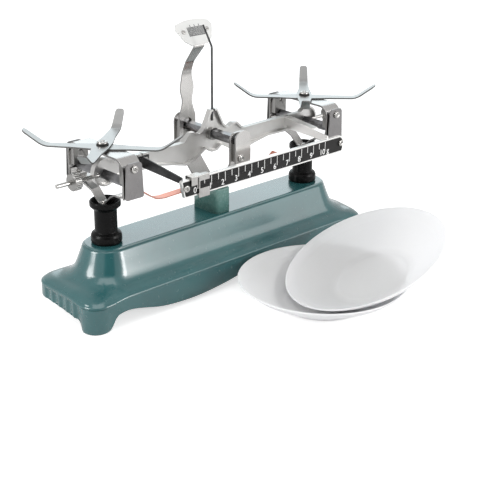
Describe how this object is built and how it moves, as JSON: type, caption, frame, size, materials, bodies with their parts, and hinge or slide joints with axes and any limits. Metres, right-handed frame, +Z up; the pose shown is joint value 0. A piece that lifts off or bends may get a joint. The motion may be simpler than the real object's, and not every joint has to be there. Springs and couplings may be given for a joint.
{
  "type": "laboratory pan balance",
  "caption": "Equal-arm table balance with a low enamelled base, knife-edge beam, rider bar, pointer and plate, two pan carriers and two loose white pans stacked in front",
  "frame": {"origin": "on the table, midway between the two posts and straight below the edge of the centre knife", "axes": "+X along the beam towards the ten-gram end of the rider bar, +Y to the back where the index strip stands, +Z up"},
  "size_m": [0.3139, 0.2418, 0.2129],
  "materials": {
    "teal_enamel": "glossy teal stove enamel over a casting",
    "pillar_enamel": "glossy grey green enamel",
    "black_finish": "satin black",
    "nickel_sheet": "nickel plated sheet, fine drawn grain",
    "dark_steel": "darkened hard steel",
    "steel_blocks": "machined steel",
    "bright_screws": "bright nickel plating",
    "white_plate": "white paint with a black printed scale",
    "copper": "bare copper, lightly tarnished",
    "beam_metal": "satin pressed metal",
    "brass": "turned brass",
    "pointer_steel": "drawn steel",
    "scale_black": "black paint with white marks",
    "rider_chrome": "bright plating",
    "nut_steel": "knurled steel",
    "strip_aluminium": "satin aluminium",
    "black_fibre": "black fibre",
    "pan_white": "milk-white translucent plastic"
  },
  "bodies": {
    "base": {"base_casting": "teal_enamel", "left_post": "black_finish", "right_post": "black_finish", "post_ring_nuts": "steel_blocks", "central_pillar": "pillar_enamel", "pillar_bolts": "bright_screws", "fulcrum_fork": "nickel_sheet", "fulcrum_bearings": "steel_blocks", "fulcrum_covers": "nickel_sheet", "fulcrum_cover_screws": "bright_screws", "index_strip": "nickel_sheet", "index_plate": "white_plate", "index_screws": "bright_screws", "copper_strip": "copper", "copper_strip_screws": "bright_screws", "lever_bracket": "steel_blocks", "lever_pivot_pin": "bright_screws"},
    "beam": {"beam_plate": "beam_metal", "centre_knife": "dark_steel", "centre_knife_collar": "brass", "left_end_knife": "dark_steel", "right_end_knife": "dark_steel", "pointer": "pointer_steel", "left_rider_arm": "dark_steel", "right_rider_arm": "nickel_sheet", "rider_arm_rivets": "bright_screws", "rider_bar": "nickel_sheet", "rider_scale_face": "scale_black", "rider_bar_screws": "bright_screws", "left_balance_screw": "bright_screws", "right_balance_screw": "bright_screws"},
    "left_hanger": {"left_hanger_bridge": "nickel_sheet", "left_hanger_bearings": "steel_blocks", "left_hanger_covers": "nickel_sheet", "left_hanger_screws": "bright_screws", "left_hanger_yoke": "nickel_sheet", "left_yoke_rivets": "bright_screws", "left_stem": "bright_screws", "left_lower_pan_strip": "strip_aluminium", "left_upper_pan_strip": "strip_aluminium", "left_pan_washer": "black_fibre", "left_pan_screw": "bright_screws"},
    "right_hanger": {"right_hanger_bridge": "nickel_sheet", "right_hanger_bearings": "steel_blocks", "right_hanger_covers": "nickel_sheet", "right_hanger_screws": "bright_screws", "right_hanger_yoke": "nickel_sheet", "right_yoke_rivets": "bright_screws", "right_stem": "bright_screws", "right_lower_pan_strip": "strip_aluminium", "right_upper_pan_strip": "strip_aluminium", "right_pan_washer": "black_fibre", "right_pan_screw": "bright_screws"},
    "lower_lever": {"lower_lever": "steel_blocks", "lever_end_pins": "bright_screws"},
    "rider": {"rider": "rider_chrome"},
    "left_nut": {"left_balance_nut": "nut_steel"},
    "right_nut": {"right_balance_nut": "nut_steel"},
    "lower_pan": {"lower_pan": "pan_white"},
    "upper_pan": {"upper_pan": "pan_white"}
  },
  "joints": [
    {"name": "beam_tilt", "type": "hinge", "parent": "base", "child": "beam", "pos_m": [0, 0, 0.1185], "axis": [0, 1, 0], "range_deg": [-1.8, 1.8]},
    {"name": "left_carrier_swing", "type": "hinge", "parent": "beam", "child": "left_hanger", "pos_m": [-0.11, 0, 0.1165], "axis": [0, 1, 0], "range_deg": [-1.8, 1.8]},
    {"name": "right_carrier_swing", "type": "hinge", "parent": "beam", "child": "right_hanger", "pos_m": [0.11, 0, 0.1165], "axis": [0, 1, 0], "range_deg": [-1.8, 1.8]},
    {"name": "lower_lever_tilt", "type": "hinge", "parent": "base", "child": "lower_lever", "pos_m": [0, 0, 0.034], "axis": [0, 1, 0], "range_deg": [-1.8, 1.8]},
    {"name": "rider_slide", "type": "slide", "parent": "beam", "child": "rider", "axis": [1, 0, 0], "range_m": [0, 0.1419]},
    {"name": "left_nut_travel", "type": "slide", "parent": "beam", "child": "left_nut", "axis": [1, 0, 0], "range_m": [-0.01, 0.01]},
    {"name": "right_nut_travel", "type": "slide", "parent": "beam", "child": "right_nut", "axis": [1, 0, 0], "range_m": [-0.01, 0.006]},
    {"name": "lower_pan_lift", "type": "slide", "parent": "base", "child": "lower_pan", "axis": [0, 0, 1], "range_m": [0, 0.05]},
    {"name": "upper_pan_lift", "type": "slide", "parent": "lower_pan", "child": "upper_pan", "axis": [0, 0, 1], "range_m": [0, 0.05]}
  ],
  "couplings": [
    {"joint": "left_carrier_swing", "follows": "beam_tilt", "ratio": -1},
    {"joint": "right_carrier_swing", "follows": "beam_tilt", "ratio": -1},
    {"joint": "lower_lever_tilt", "follows": "beam_tilt", "ratio": 1}
  ]
}
